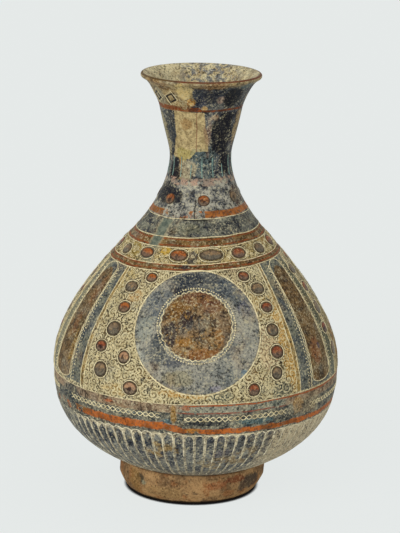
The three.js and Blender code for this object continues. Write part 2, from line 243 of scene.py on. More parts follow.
MOUTH_PATCHES = (
    (-45, 297, 10, 2.2, (170, 134, 86), 0.8), (-39, 293.2, 9, 1.3, (112, 78, 34), 0.8),
    (-19, 292, 6.5, 6, (212, 186, 124), 0.95), (-58, 286, 5, 7, (142, 134, 108), 0.7),
    (14, 296.5, 12, 2.2, (152, 118, 80), 0.85), (25.6, 286, 3.4, 2.6, (178, 150, 132), 0.85),
    (5, 279.6, 1.8, 1.6, (184, 146, 88), 0.9), (42, 287, 9, 7, (20, 23, 32), 0.85),
    (54, 295, 6, 2.6, (88, 102, 98), 0.8), (0, 285.5, 4, 4, (50, 52, 78), 0.5),
    (-12.7, 284.4, 2.8, 2.4, (204, 162, 88), 0.95), (100, 286, 14, 7, (158, 134, 94), 0.7),
    (-120, 290, 18, 4, (150, 128, 88), 0.6),
)
MOUTH_DARKS = (
    (42, 287, 8, 6, (18, 20, 28), 0.75), (-3, 288, 6, 5, (34, 38, 46), 0.5),
    (14, 288, 7, 4.5, (30, 32, 42), 0.5),
)
FILL_PATCHES = (
    (12, 262, 3, 10, (150, 120, 92), 0.7), (-30, 246, 8, 4, (172, 158, 92), 0.7),
    (-22, 268, 5, 4, (160, 122, 72), 0.6), (-3, 247, 6, 3, (150, 150, 116), 0.5),
)


# Geometry of the wall


def leaning(degrees):
    angle = math.radians(degrees)
    return np.array((math.sin(angle), math.cos(angle)))


def outline():
    """Points of the outside and of the inside, going up."""
    outside, inside = [], []
    for start, end in zip(KNOTS, KNOTS[1:]):
        first, last = (np.array((knot.radius, knot.height)) for knot in (start, end))
        leave = first + leaning(start.lean) * start.leave
        arrive = last - leaning(end.lean) * end.arrive
        for t in np.arange(CURVE_STEPS + 1) / CURVE_STEPS:
            s = 1 - t
            place = s**3 * first + 3 * s * s * t * leave + 3 * s * t * t * arrive + t**3 * last
            along = s * s * (leave - first) + 2 * s * t * (arrive - leave) + t * t * (last - arrive)
            along /= np.hypot(*along)
            wall = start.wall + (end.wall - start.wall) * t
            outside.append(place)
            inside.append(place + wall * np.array((-along[1], along[0])))
    return np.array(outside), np.array(inside)


OUTSIDE, INSIDE = outline()


def outer_radius(height):
    return float(np.interp(height, OUTSIDE[:, 1], OUTSIDE[:, 0]))


def inner_radius(height):
    return float(np.interp(height, INSIDE[:, 1], INSIDE[:, 0]))


def drift(height):
    return float(np.interp(height, DRIFT_HEIGHTS, DRIFTS))


def climb(height):
    rising = np.interp(height, (CLIMB_LOW, CLIMB_PEAK), (CLIMB_START, CLIMB_MOST))
    return float(rising - np.interp(height, (CLIMB_PEAK, OVERALL_HEIGHT), (0, CLIMB_MOST)))


def round_the_axis(turn, radius, height):
    angle = math.radians(turn)
    return radius * math.sin(angle), -radius * math.cos(angle), height


def on_wall(turn, height, lift=0):
    """The place on the outside at an angle and a painted height, and the way out from there."""
    z = PAINT_START + height
    for _ in range(4):
        x = outer_radius(z) * math.sin(math.radians(turn)) + drift(z)
        z = PAINT_START + height + climb(z) * x
    slope = outer_radius(z + 0.5) - outer_radius(z - 0.5)
    out = Vector(round_the_axis(turn, 1, -slope)).normalized()
    x, y, z = round_the_axis(turn, outer_radius(z), z)
    return Vector((x + drift(z), y, z)) + out * lift, out


def round_place(turn, height, radius, angle):
    """The angle and painted height of a point on a circle drawn on the wall."""
    centre = on_wall(turn, height)[0]
    reach = radius
    for _ in range(5):
        up = height + reach * math.sin(angle)
        per_degree = math.radians(outer_radius(PAINT_START + up))
        there = (turn + reach * math.cos(angle) / per_degree, up)
        reach *= radius / (on_wall(*there)[0] - centre).length
    return there


# Node trees


class Wire:
    """A value in a node tree. Reckoning with it adds nodes to its tree."""

    def __init__(self, tree, socket):
        self.tree = tree
        self.socket = socket

    def __abs__(self):
        return reckon("ABSOLUTE", self)

    def beside(self, name):
        """Another output of the same node."""
        return Wire(self.tree, self.socket.node.outputs[name])


def operator(operation, swapped):
    def act(wire, other):
        return reckon(operation, *((other, wire) if swapped else (wire, other)))

    return act


for sign, step in {"add": "ADD", "sub": "SUBTRACT", "mul": "MULTIPLY", "truediv": "DIVIDE"}.items():
    setattr(Wire, f"__{sign}__", operator(step, False))
    setattr(Wire, f"__r{sign}__", operator(step, True))


def plug(tree, value, socket):
    if isinstance(value, Wire):
        tree.links.new(value.socket, socket)
    else:
        socket.default_value = value


def add(tree, kind, inputs=None, output=0, **settings):
    """Adds a node, sets it up, feeds its inputs, and gives one of its outputs."""
    node = tree.nodes.new(kind)
    for name, value in settings.items():
        setattr(node, name, value)
    for name, value in (inputs or {}).items():
        plug(tree, value, node.inputs[name])
    return Wire(tree, node.outputs[output]) if node.outputs else None


def reckon(operation, *values, kind="Math", output=0):
    """Reckons in the tree of the first wire among the values."""
    tree = next(value.tree for value in values if isinstance(value, Wire))
    inputs = dict(enumerate(values))
    return add(tree, "ShaderNode" + kind, inputs, output, operation=operation)


def reckon_vector(operation, *values, output="Vector"):
    return reckon(operation, *values, kind="VectorMath", output=output)


def length(vector):
    return reckon_vector("LENGTH", vector, output="Value")


def split(vector):
    """The three parts of a vector."""
    x = add(vector.tree, "ShaderNodeSeparateXYZ", {0: vector})
    return x, x.beside("Y"), x.beside("Z")


def joined(x, y, z=0.0):
    return add(x.tree, "ShaderNodeCombineXYZ", {"X": x, "Y": y, "Z": z})


def rise(value, low, high, lowest=0, highest=1, smooth=True):
    """Climbs from lowest to highest while value goes from low to high."""
    kind = "SMOOTHSTEP" if smooth else "LINEAR"
    inputs = dict(enumerate((value, low, high, lowest, highest)))
    return add(value.tree, "ShaderNodeMapRange", inputs, interpolation_type=kind)


def between(value, low, high, soft=0.3):
    """1 between low and high, 0 outside."""
    return rise(value, low - soft, low + soft) * rise(value, high + soft, high - soft)


def largest(*values):
    return functools.reduce(functools.partial(reckon, "MAXIMUM"), values)


def smallest(*values):
    return functools.reduce(functools.partial(reckon, "MINIMUM"), values)


def linear(colour):
    """A colour written as it looks, in 0 to 255, as the shader takes it."""
    shares = [channel / 255 for channel in colour]
    bent = [s / 12.92 if s <= 0.04045 else ((s + 0.055) / 1.055) ** 2.4 for s in shares]
    return (*bent, 1)


def paint(mask, under, over):
    """Lays one colour over another where the mask is 1."""
    under, over = (c if isinstance(c, Wire) else linear(c) for c in (under, over))
    return add(mask.tree, "ShaderNodeMix", {0: mask, 6: under, 7: over}, 2, data_type="RGBA")


def layered(colour, *layers):
    """Lays colours one over another, each as its mask and itself."""
    for mask, over in layers:
        colour = paint(mask, colour, over)
    return colour


def cleared(owner):
    """The empty node tree of a material or a world."""
    owner.use_nodes = True
    owner.node_tree.nodes.clear()
    return owner.node_tree


# Finishes


class Coat:
    """The surface that a finish is laid on, in millimetres and degrees."""

    def __init__(self, tree):
        self.tree = tree
        where = add(tree, "ShaderNodeTexCoord", output="Object")
        self.place = reckon_vector("MULTIPLY", where, (1 / MM,) * 3)
        self.x, self.y, self.z = split(self.place)
        self.turn = reckon("ARCTAN2", self.x, self.y * -1) * math.degrees(1)
        rising = rise(self.z, CLIMB_LOW, CLIMB_PEAK, CLIMB_START, CLIMB_MOST, smooth=False)
        falling = rise(self.z, CLIMB_PEAK, OVERALL_HEIGHT, 0, CLIMB_MOST, smooth=False)
        self.level = self.z - PAINT_START
        self.height = self.level - (rising - falling) * self.x
        self.fine = self.grain(1.5, 3, 0.75)
        self.patches = self.grain(5, 5, 0.72, 40)
        self.ragged = self.grain(7, 4, 0.7, 31) - 0.5

    def grain(self, size, detail=2, rough=0.5, shift=0):
        """Cloudy noise around 0.5, with blots of about this size."""
        moved = reckon_vector("ADD", self.place, (shift,) * 3)
        inputs = {"Vector": moved, "Scale": 1 / size, "Detail": detail, "Roughness": rough}
        return add(self.tree, "ShaderNodeTexNoise", inputs)

    def near(self, centres):
        """The distance to the nearest of some places on the wall."""
        places = [tuple(on_wall(*centre)[0]) for centre in centres]
        return smallest(*(reckon_vector("DISTANCE", self.place, place, output="Value")
                          for place in places))

    def turn_from(self, centre):
        """The angle from a centre, -180 to 180."""
        return reckon("WRAP", self.turn - centre, 180, -180)

    def sector(self, start, full, fading, end, ragged=0):
        """1 between two angles. It climbs from start to full, and falls from fading to end."""
        return rise(self.turn + self.ragged * ragged, start, full) * rise(self.turn, end, fading)

    def attribute(self, name, output):
        return add(self.tree, "ShaderNodeAttribute", output=output, attribute_name=name)

    def drawn(self, wander=1.0):
        """The painted height, as an unsteady brush follows it."""
        return self.height + (self.grain(9, 2, shift=200) - 0.5) * (2 * wander)

    def blots(self, colour, *spots):
        """Lays ragged patches: angle, height, half width, half height, colour and strength."""
        for turn, height, wide, tall, over, strength in spots:
            per_degree = math.radians(outer_radius(PAINT_START + height))
            across = self.turn_from(turn) * (per_degree / wide)
            up = (self.height - height) / tall
            least = min(wide, tall)
            reach = reckon("SQRT", across * across + up * up) + self.ragged * (1.1 + 3 / least)
            soft = 0.08 + 0.5 / least
            colour = paint(rise(reach, 1 + soft, 1 - soft) * strength, colour, over)
        return colour

    def mottled(self, size, shift, dark, light, patches=()):
        """Two shades of a colour, mixed in clouds, with patches over them."""
        clouds = rise(self.grain(size, 4, 0.65, shift), 0.36, 0.62)
        return self.blots(paint(clouds, dark, light), *patches)

    def lined(self, colour, mask, over, gone=-0.14):
        """Lays a line over the weathering, broken where the noise is lower than what is gone."""
        left = rise(self.ragged - gone, -0.03, 0.03) * rise(self.fine, 0.4, 0.5, 0.3, 1)
        return paint(mask * left, colour, over)

    def weathered(self, colour, speckle, stains):
        """A worn colour and its relief: bloom, ochre stains, patches, and flecks in crowds."""
        fleck = self.fine + rise(self.grain(13, 3, 0.6, 160), 0.38, 0.62) * 0.06
        colour = layered(
            colour,
            (rise(self.grain(15, 4, 0.65, 80), 0.5, 0.68) * 0.3, (150, 148, 134)),
            (rise(self.grain(24, 4, 0.7, 120), 0.53, 0.7) * stains, (156, 110, 46)),
            (rise(self.patches, 0.44, 0.37) * 0.7, (32, 32, 36)),
            (rise(self.patches, 0.57, 0.65) * 0.4, (184, 170, 128)),
            (rise(fleck, 0.49, 0.41) * speckle, (20, 18, 19)),
            (rise(fleck, 0.58, 0.67) * speckle * 0.75, (212, 202, 164)),
        )
        return colour, self.fine * 0.6 + self.patches

    def scrolls(self, size, pitch):
        """Fine spirals packed over the wall: 1 on their lines, 0 between."""
        flat = joined(self.turn * 1.6, self.height)
        inputs = {"Vector": flat, "Scale": 1 / size, "Randomness": 0.8}
        cell = add(self.tree, "ShaderNodeTexVoronoi", inputs, "Position", voronoi_dimensions="2D")
        away = reckon_vector("SUBTRACT", flat, cell)
        x, y, _ = split(away)
        start = add(self.tree, "ShaderNodeSeparateColor", {0: cell.beside("Color")})
        reach = length(away) + (self.fine - 0.5) * 0.5
        winding = reach / pitch + reckon("ARCTAN2", y, x) / math.tau + start + 8
        return rise(abs(reckon("FRACT", winding) - 0.5), 0.34, 0.22)

    def scroll_ground(self):
        """Pale scrolls over a brown and ochre ground, darker towards the sides with painted shade.
        """
        ground = self.mottled(6, 300, (62, 52, 34), (118, 98, 58), GROUND_PATCHES_AND_SIDE_SHADE)
        return paint(self.scrolls(5.4, 2.2) * 0.85, ground, (230, 216, 170))

    def shoulder_grey(self):
        """The mottled grey-blue of the shoulder, which runs over the seam into the neck."""
        return self.mottled(6, 62, (50, 54, 62), (128, 128, 112))


def bands(height, colour, *edges):
    """Lays bands round the pot, each (low, high, colour)."""
    return layered(colour, *((between(height, low, high, 0.35), over) for low, high, over in edges))


def finish(name, lay, roughness, relief=0.3, specular=0.06):
    """A material whose colour and relief are laid by a function."""
    material = bpy.data.materials.new(name)
    tree = cleared(material)
    colour, height = lay(Coat(tree))
    bump = {"Height": height, "Strength": 1, "Distance": relief * MM}
    inputs = {"Base Color": colour, "Roughness": roughness, "Specular IOR Level": specular,
              "Normal": add(tree, "ShaderNodeBump", bump)}
    shader = add(tree, "ShaderNodeBsdfPrincipled", inputs)
    add(tree, "ShaderNodeOutputMaterial", {"Surface": shader})
    return material


def lay_foot(coat):
    clay = coat.mottled(14, 0, (124, 96, 66), (182, 144, 98))
    clay = layered(clay, (rise(coat.grain(11, 3, 0.6, 30), 0.52, 0.64) * 0.6, (152, 96, 54)),
                   (rise(coat.grain(9, 4, 0.65, 60), 0.57, 0.66) * 0.6, (78, 66, 54)))
    clay = layered(coat.blots(clay, *FOOT_PATCHES),
                   (rise(coat.fine, 0.47, 0.36) * 0.7, (48, 36, 28)),
                   (rise(coat.fine, 0.56, 0.68) * 0.6, (204, 172, 124)),
                   # painted shade: the heel darkens almost to black over its lowest few
                   # millimetres, where it curves under towards the floor
                   (rise(coat.z + coat.ragged * 2, 3.2, 1.6) * 0.9, (26, 21, 18)),
                   # painted shade at the top of the foot, in the crease under the bowl
                   (rise(coat.z, FOOT_TOP - 1.6, FOOT_TOP) * 0.6, (60, 50, 42)))
    return clay, coat.fine + coat.patches


def lay_bowl(coat):
    h = coat.drawn()
    # flutes: dark fingers with round tops between pale lines, worn to the clay at the right
    flute = reckon("PINGPONG", coat.turn + 360, FLUTE_PITCH / 2) / (FLUTE_PITCH / 2)
    arch = reckon("MAXIMUM", h - 61, 0) / 4.5
    navy = layered(coat.mottled(6, 20, (46, 54, 70), (142, 142, 132)),
                   (between(h + coat.ragged * 6, 52, 61, 3) * 0.55, (36, 42, 52)),
                   (coat.sector(26, 38, 80, 120, 30) * 0.85, (206, 188, 152)))
    pale = coat.mottled(5, 5, (124, 116, 100), (226, 212, 176))
    pale = paint(coat.sector(-52, -62, -110, -130, 24) * 0.7, pale, (92, 100, 100))
    colour = layered(pale, (rise(flute - arch * arch, 0.18, 0.34), navy),
                     (rise(h, 31, 26) * 0.6, (142, 134, 118)))
    ochre = paint(rise(coat.grain(8, 3, 0.6, 77), 0.44, 0.54) * 0.8, colour, (164, 132, 72))
    colour = coat.blots(colour, (-14.6, 51, 11, 7, ochre, 0.9), (14, 45, 9, 7, (104, 92, 100), 0.4),
                        (12, 40, 14, 7, ochre, 0.7), (24, 46, 8, 8, ochre, 0.6))
    # the bands above them
    dusk = coat.mottled(6, 55, (56, 62, 64), (130, 126, 108))
    teal = coat.sector(-8, -5, 36, 40)
    over = paint(teal, coat.mottled(7, 65, (112, 92, 72), (160, 136, 108)),
                 coat.mottled(7, 66, (102, 108, 98), (150, 148, 128)))
    colour = bands(h, colour, (65.5, 81.8, dusk), (81.8, 88.4, over))
    colour = layered(coat.blots(colour, *BOWL_PATCHES),
                     (rise(h, 88, MAIN_LOW), coat.scroll_ground()),
                     # painted shade along the bowl's lowest edge, in the crease where it meets the
                     # foot
                     (rise(coat.z, FOOT_TOP + 2.2, FOOT_TOP) * 0.85, (46, 40, 38)))
    colour, relief = coat.weathered(colour, 0.85, 0.25)
    # the orange band and the red lines stand on the weathered ground
    left = rise(coat.turn, -4, -12)
    edge = h + coat.ragged * 4
    orange = rise(edge - left * 2.2, 66.2, 67) * rise(edge - left * 4.2, 70.6, 69.8)
    rust = coat.mottled(5, 35, (140, 78, 34), (196, 108, 48), RUST_PATCHES)
    broken = coat.sector(-34, -66, -100, -120) * 0.25
    colour = coat.lined(colour, orange, rust, broken - 0.17)
    colour = coat.lined(colour, between(h, 81.4, 82.3, 0.25) * teal, (142, 76, 60), -0.1)
    line = between(h, 86.6, 87.7, 0.25) * rise(coat.turn, -6, -3)
    return coat.lined(colour, line, (166, 86, 44)), relief


def lay_body(coat):
    h = coat.drawn()
    # narrow panels: a brown field between two grey-blue strips
    off = smallest(*(abs(coat.turn_from(centre)) for centre in NARROW_PANELS))
    strip = coat.mottled(8, 50, (76, 84, 88), (124, 124, 106), STRIP_PATCHES)
    gold = coat.mottled(6, 17, (112, 90, 50), (186, 150, 78))
    brown = coat.mottled(7, 70, (82, 64, 40), (130, 102, 64), FIELD_PATCHES)
    arch = smallest(h - 90, (h - 167) * -1) / 6 - reckon("POWER", off / 7.4, 2.0)
    colour = layered(coat.scroll_ground(), (rise(off, 14.9, 14.5), strip),
                     (between(off, NARROW_HALF, NARROW_HALF + BORDER_GAP, 0.25) * 0.85, gold),
                     (rise(off, 7.6, FIELD_HALF) * rise(arch, -0.1, 0.1), brown))
    # medallions: a mottled ring round a brown and gold middle, with a painted highlight on the ring
    # at its lower left
    ring = coat.mottled(9, 90, (102, 106, 104), (164, 160, 144), RING_PATCHES_AND_HIGHLIGHT)
    gold = rise(coat.grain(2.6, 3, 0.7, 33), 0.57, 0.63) * rise(coat.x, 22, -6, 0.3, 1)
    middle = coat.mottled(5, 25, (66, 50, 38), (146, 116, 78), HEART_PATCHES)
    middle = paint(gold * 0.6, middle, (188, 144, 74))
    rim, heart = coat.near(MEDALLIONS), coat.near(HEARTS)
    colour = layered(colour, (rise(rim, MEDALLION_RADIUS, MEDALLION_RADIUS - 0.6), ring),
                     (rise(heart, HEART_RADIUS, HEART_RADIUS - 0.6), middle))
    # the shoulder's bands
    umber = coat.mottled(5, 22, (78, 58, 34), (134, 106, 64))
    ovals = coat.mottled(6, 12, (66, 54, 34), (138, 114, 58))
    ovals = paint(coat.scrolls(4.2, 1.8) * 0.8, ovals, (212, 190, 130))
    colour = bands(h, colour, (171, 175.5, umber), (175.5, 185, ovals), (185, 191, umber),
                   (191, 203, coat.shoulder_grey()))
    colour, relief = coat.weathered(coat.blots(colour, *SHOULDER_PATCHES), 0.75, 0.25)
    # the filled crack that runs down from the neck at the left
    along = (coat.level - 173) / 29
    slant = coat.x + 37 - along * 16.5 + coat.ragged * 5
    crack = between(along, 0.05, 1.1, 0.08) * rise(coat.y, 0, -1)
    putty = coat.mottled(3, 91, (62, 80, 76), (116, 126, 110))
    colour = layered(colour, (crack * between(slant, -4, 4, 0.7) * 0.55, (184, 174, 138)),
                     (crack * between(slant, -2.9, 2.9, 0.9) * 0.85, putty))
    lines = largest(*(between(h, low, low + 0.9) for low in (171.9, 174.4, 185.7, 189.4)))
    uncracked = 1 - crack * between(slant, -3.5, 3.5, 0.5)
    red = coat.mottled(6, 52, (112, 60, 34), (156, 84, 44))
    return coat.lined(colour, lines * uncracked, red, -0.09), relief


def lay_neck(coat):
    h = coat.drawn()
    low = coat.mottled(6, 62, (64, 68, 74), (172, 168, 152), NECK_LOW_PATCHES)
    high = coat.mottled(7, 72, (28, 30, 40), (84, 88, 92), NECK_HIGH_PATCHES)
    colour = layered(low, (rise(h + coat.ragged * 4, 226, 227.4), high),
                     (rise(h, 203, 202), coat.shoulder_grey()))
    colour, relief = coat.weathered(colour, 0.85, 0.15)
    colour = coat.blots(colour, *NECK_DARKS)
    # the orange band, worn away in front, and the pink smears above it
    worn = coat.sector(-50, -46, 6, 9) * 0.24
    orange = coat.mottled(5, 52, (136, 80, 36), (180, 112, 56), NECK_BAND_PATCHES)
    there = rise(coat.ragged - worn, -0.2, -0.14) * rise(coat.fine, 0.4, 0.5, 0.3, 1)
    colour = paint(between(h, 203.1, 207.2) * there, colour, orange)
    pink = coat.mottled(4, 57, (144, 130, 114), (184, 150, 126))
    colour = coat.lined(colour, between(h + coat.ragged * 4, 224, 228.6, 0.5), pink, -0.02)
    # cracks: one up from the seam, and one along it
    upward = between(coat.x + 2.9 + coat.ragged * 5, -0.5, 0.5) * between(coat.level, 201, 214, 1)
    level = between(coat.level - 201.6 + coat.ragged * 4, -0.6, 0.5) * between(coat.x, -11, 6, 1)
    front = rise(coat.y, 0, -1)
    return paint(largest(upward, level) * front * 0.85, colour, (28, 24, 24)), relief


def lay_mouth(coat):
    h = coat.drawn(0.7)
    cream = coat.mottled(8, 14, (120, 104, 74), (174, 150, 104))
    navy = coat.mottled(7, 24, (24, 27, 38), (80, 84, 88))
    dark = (rise(coat.turn + coat.ragged * 50, -18, -12)
            * rise(coat.turn + coat.ragged * 80, 150, 120))
    band = coat.blots(paint(dark * rise(h, 296.5, 294), cream, navy), *MOUTH_PATCHES)
    inner = coat.attribute("inner", "Fac")
    spots = (rise(coat.patches, 0.46, 0.54) * rise(coat.x, -22, -6, 0.15, 1)
             * rise(coat.x, 30, 18, 0.35, 1))
    inside = layered(coat.mottled(8, 84, (184, 164, 122), (240, 226, 178)),
                     (spots * 0.85, (98, 106, 116)),
                     (rise(coat.fine, 0.58, 0.64) * spots, (224, 222, 210)))
    colour, relief = coat.weathered(paint(rise(inner, 0.5, 0.8), band, inside), 0.75, 0.15)
    colour = coat.blots(colour, *MOUTH_DARKS)
    # the red line at the foot of the mouth, thicker at the left, and the brown lip
    left = rise(coat.turn, 2, -4) * 1.7
    edge = h + coat.ragged * 2
    line = rise(edge, 276.7, 277.3) * rise(edge - left, 278.8, 278.2) * rise(inner, 0.3, 0.1)
    colour = coat.lined(colour, line, coat.mottled(5, 18, (92, 50, 28), (136, 72, 36)), -0.1)
    reach = reckon("SQRT", coat.x * coat.x + coat.y * coat.y)
    lip = between(inner, 0.2, 0.8, 0.1) * rise(reach, 41, 41.4) * rise(coat.z, 302.9, 303.3)
    brown = paint(rise(coat.turn, -20, -34), (112, 60, 40), (98, 74, 40))
    return coat.lined(colour, lip, brown, -0.16), relief


def lay_fill(coat):
    tan = paint(rise(coat.grain(4, 4, 0.65), 0.38, 0.6), (160, 140, 98), (202, 180, 130))
    crack = between(coat.x + coat.ragged * 2, CRACK_X - 0.3, CRACK_X + 0.3, 0.15)
    tan = layered(coat.blots(tan, *FILL_PATCHES),
                  (rise(coat.fine, 0.47, 0.37) * 0.65, (88, 74, 54)),
                  (rise(coat.fine, 0.57, 0.66) * 0.5, (224, 208, 164)),
                  (crack * 0.7, (112, 58, 40)))
    return tan, coat.fine


def pitted(coat, colour, pit):
    """An enamel's worn pits, and its relief."""
    return paint(rise(coat.fine, 0.46, 0.37) * 0.7, colour, pit), coat.fine


def enamel(name, lay):
    return finish(name, lay, 0.5, relief=0.1, specular=0.1)


def plain_enamel(name, colour, worn, wear=0.5):
    """Trailed enamel that has worn and browned in places."""

    def lay(coat):
        shade = paint(rise(coat.patches, 0.46, 0.6) * wear, colour, worn)
        shade, relief = pitted(coat, shade, worn)
        return paint(rise(coat.fine, 0.56, 0.68) * 0.4, shade, (240, 230, 190)), relief

    return enamel(name, lay)


def lay_scroll_lines(coat):
    """The enamel of the scrolls, stained like the ground under it, and darkened towards the sides
    with the same painted shade.
    """
    shade = coat.mottled(5, 75, (196, 180, 134), CREAM)
    for *place, over, strength in GROUND_PATCHES_AND_SIDE_SHADE:
        lighter = tuple(min(channel * 1.12 + 8, 255) for channel in over)
        shade = coat.blots(shade, (*place, lighter, strength * 0.75))
    return pitted(coat, shade, (120, 102, 68))


def lay_flute_lines(coat):
    """The pale lines between the flutes, broken in front and worn away at both sides."""
    broken = rise(coat.grain(6, 3, 0.7, 71), 0.47, 0.55) * rise(coat.height, 60, 50)
    shade = layered(coat.mottled(4, 73, (186, 172, 138), (255, 246, 214)),
                    (broken * 0.8, (92, 88, 80)),
                    (coat.sector(-54, -66, -110, -130, 50) * 0.7, (100, 106, 104)),
                    (coat.sector(30, 44, 80, 120, 30) * 0.6, (216, 202, 170)))
    return pitted(coat, shade, (84, 74, 58))


def lay_drop(coat):
    """Each drop carries its own colour, worn grey below, and may have a dark eye."""
    tint = coat.attribute("tint", "Color")
    within = coat.attribute("within", "Vector")
    flat = reckon_vector("MULTIPLY", within, (1, 1, 0))
    from_eye = length(reckon_vector("ADD", flat, (0.1, 0.14, 0)))
    cloud = coat.grain(3, 4, 0.7, 8)
    up = split(within)[1] + (cloud - 0.5) * 3
    eye = rise(from_eye + (cloud - 0.5) * 1.6, 0.46, 0.24) * tint.beside("Alpha")
    shade = layered(tint, (rise(cloud, 0.5, 0.62) * 0.5, (176, 140, 92)),
                    (rise(up, 0.25, -0.3) * 0.75, (100, 98, 86)),
                    (rise(cloud, 0.44, 0.34) * 0.6, (66, 50, 36)),
                    (rise(coat.fine, 0.47, 0.38) * 0.7, (44, 34, 26)),
                    (rise(coat.fine, 0.57, 0.68) * 0.5, (206, 180, 136)),
                    (eye * 0.9, (40, 20, 18)),
                    (rise(length(flat), 0.72, 0.9) * 0.75, (58, 46, 34)))
    return shade, coat.fine


# Meshes


def mesh_of(name, points, edges=(), faces=()):
    """A mesh from points in millimetres."""
    mesh = bpy.data.meshes.new(name)
    mesh.from_pydata([Vector(point) * MM for point in points], edges, faces)
    return mesh


def note(mesh, name, values, kind="FLOAT_VECTOR"):
    """Gives each point of a mesh a value that its tree or its material reads."""
    attribute = mesh.attributes.new(name, kind, "POINT")
    field = {"FLOAT": "value", "FLOAT_VECTOR": "vector", "FLOAT_COLOR": "color"}[kind]
    attribute.data.foreach_set(field, np.array(values, np.float32).ravel())


def placed(name, data):
    """An object in the scene."""
    made = bpy.data.objects.new(name, data)
    bpy.context.scene.collection.objects.link(made)
    return made


def shown(name, mesh, node=None):
    """Puts a finished mesh on the part, and in place of a CAD node if it has one."""
    piece = placed(name, mesh)
    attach(piece, "root")
    if node:
        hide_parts(node)


def applied(piece):
    """The mesh that an object's modifiers make."""
    graph = bpy.context.evaluated_depsgraph_get()
    return bpy.data.meshes.new_from_object(piece.evaluated_get(graph), depsgraph=graph)


def geo(tree, kind, inputs=None, output=0, **settings):
    return add(tree, "GeometryNode" + kind, inputs, output, **settings)


def geometry_tree(name, sizes, shape):
    """A tree with named sizes, whose geometry a function makes, smooth and in one material."""
    tree = bpy.data.node_groups.new(name, "GeometryNodeTree")
    for socket, kind in {"Geometry": "Geometry", **sizes, "Material": "Material"}.items():
        tree.interface.new_socket(socket, in_out="INPUT", socket_type="NodeSocket" + kind)
    tree.interface.new_socket("Geometry", in_out="OUTPUT", socket_type="NodeSocketGeometry")
    sockets = [socket for socket in tree.nodes.new("NodeGroupInput").outputs if socket.name]
    *given, material = (Wire(tree, socket) for socket in sockets)
    real = geo(tree, "RealizeInstances", {0: geo(tree, "SetShadeSmooth", {0: shape(tree, *given)})})
    coloured = geo(tree, "SetMaterial", {0: real, "Material": material})
    plug(tree, coloured, tree.nodes.new("NodeGroupOutput").inputs[0])
    return tree


def grown(tree, mesh, material, *sizes):
    """The plain mesh that a geometry tree makes of a mesh."""
    start = placed(mesh.name, mesh)
    modifier = start.modifiers.new("tree", "NODES")
    modifier.node_group = tree
    sockets = [socket for socket in tree.interface.items_tree if socket.in_out == "INPUT"]
    for socket, value in zip(sockets[1:], (*sizes, material)):
        modifier[socket.identifier] = value
    made = applied(start)
    bpy.data.objects.remove(start)
    return made


def named(tree, name, kind="FLOAT_VECTOR"):
    return geo(tree, "InputNamedAttribute", {"Name": name}, data_type=kind)


def stored(geometry, name, value, kind="FLOAT_VECTOR"):
    inputs = {"Geometry": geometry, "Name": name, "Value": value}
    return geo(geometry.tree, "StoreNamedAttribute", inputs, data_type=kind, domain="POINT")


def chance(tree, low, high, seed, kind="FLOAT"):
    """A random value for each instance, between two limits."""
    node = add(tree, "FunctionNodeRandomValue", {"Seed": seed}, data_type=kind).socket.node
    suffix = {"FLOAT": "_001", "INT": "_002"}[kind]
    sockets = {socket.identifier: socket for socket in (*node.inputs, *node.outputs)}
    sockets["Min" + suffix].default_value = low
    sockets["Max" + suffix].default_value = high
    return Wire(tree, sockets["Value" + suffix])


def wheel(tree, profile, turns):
    """Turns an outline, whose points hold radius, drift and height, about the upright axis."""
    rows = geo(tree, "AttributeDomainSize", {0: profile}, "Point Count")
    grid = geo(tree, "MeshGrid", {"Vertices X": turns + 1, "Vertices Y": rows})
    index = geo(tree, "InputIndex")
    column = reckon("FLOOR", (index + 0.5) / rows)
    row = index - column * rows

    def from_profile(value, kind="FLOAT_VECTOR"):
        inputs = {"Geometry": profile, "Value": value, "Index": row}
        return geo(tree, "SampleIndex", inputs, data_type=kind)

    radius, sideways, height = split(from_profile(geo(tree, "InputPosition")))
    angle = column / turns * math.tau
    x = radius * reckon("SINE", angle) + sideways
    y = radius * reckon("COSINE", angle) * -1
    section = geo(tree, "SetPosition", {"Geometry": grid, "Position": joined(x, y, height)})
    inner = from_profile(named(tree, "inner", "FLOAT"), "FLOAT")
    kept = stored(section, "inner", inner, "FLOAT")
    return geo(tree, "MergeByDistance", {"Geometry": kept, "Distance": 0.001 * MM})


def ridge(tree, line, width, height, unevenness):
    """A ridge along each path, uneven in width, with a flat underside let into the wall."""
    inputs = {"Curve": geo(tree, "MeshToCurve", {0: line}), "Normal": named(tree, "out")}
    facing = geo(tree, "SetCurveNormal", inputs, mode="FREE")
    inputs = {"Height": height, "Bottom Width": width, "Top Width": width * 0.5, "Offset": 0.0}
    across = geo(tree, "CurvePrimitiveQuadrilateral", inputs, mode="TRAPEZOID")
    across = geo(tree, "Transform", {0: across, "Rotation": (0, 0, math.radians(-90))})
    cloud = add(tree, "ShaderNodeTexNoise", {"Scale": 1 / (4 * MM), "Detail": 2})
    even = (cloud - 0.5) * unevenness * 2 + 1
    inputs = {"Curve": facing, "Profile Curve": across, "Scale": even, "Fill Caps": True}
    return geo(tree, "CurveToMesh", inputs)


def row_of_beads(tree, line, step, radius):
    """Small drops at even steps along each path."""
    inputs = {"Curve": geo(tree, "MeshToCurve", {0: line}), "Length": step}
    steps = geo(tree, "ResampleCurve", inputs, mode="LENGTH")
    drop = geo(tree, "MeshIcoSphere", {"Radius": radius, "Subdivisions": 2})
    inputs = {"Points": steps, "Instance": drop, "Scale": chance(tree, 0.75, 1.2, seed=3)}
    return geo(tree, "InstanceOnPoints", inputs)


